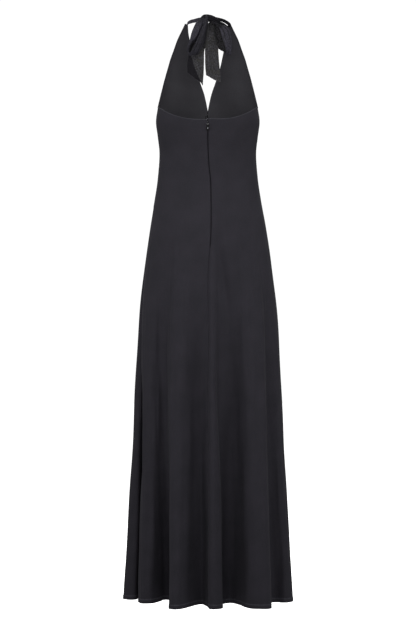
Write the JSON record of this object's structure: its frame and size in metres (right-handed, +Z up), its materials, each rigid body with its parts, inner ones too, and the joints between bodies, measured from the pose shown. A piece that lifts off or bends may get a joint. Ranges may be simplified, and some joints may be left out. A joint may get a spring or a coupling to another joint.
{
  "type": "maxi dress",
  "caption": "Floor-length halter-neck dress, tied in a bow at the nape, with a scooped open back, a concealed back zip with a hinged pull tab and a fluted skirt.",
  "frame": {"origin": "the point where the knotted ties bear on the nape of the neck", "axes": "+Z up the body, -Y the way the wearer faces, +X to the wearer's left"},
  "size_m": [0.4311, 0.3302, 1.4913],
  "materials": {
    "crepe": "matte black crepe",
    "tie_chiffon": "soft black chiffon with a grainy crinkle",
    "zip_tape": "black woven zip tape and nylon coil",
    "zip_enamel": "dark grey enamel",
    "fastener_wire": "black lacquer"
  },
  "bodies": {
    "dress": {"back_left": "crepe", "back_right": "crepe", "front_left": "crepe", "front_right": "crepe", "tie_left": "tie_chiffon", "tie_right": "tie_chiffon", "bow_knot": "tie_chiffon", "bow_loop_left": "tie_chiffon", "bow_loop_right": "tie_chiffon", "bow_tail_left": "tie_chiffon", "bow_tail_right": "tie_chiffon", "zip_chain": "zip_tape", "zip_slider": "zip_enamel", "hook": "fastener_wire", "eye": "fastener_wire"},
    "pull": {"zip_pull": "zip_enamel"}
  },
  "joints": [
    {"name": "pull_hinge", "type": "hinge", "parent": "dress", "child": "pull", "pos_m": [0, 0.05273, -0.27131], "axis": [1, 0, 0], "range_deg": [0, 165]}
  ]
}
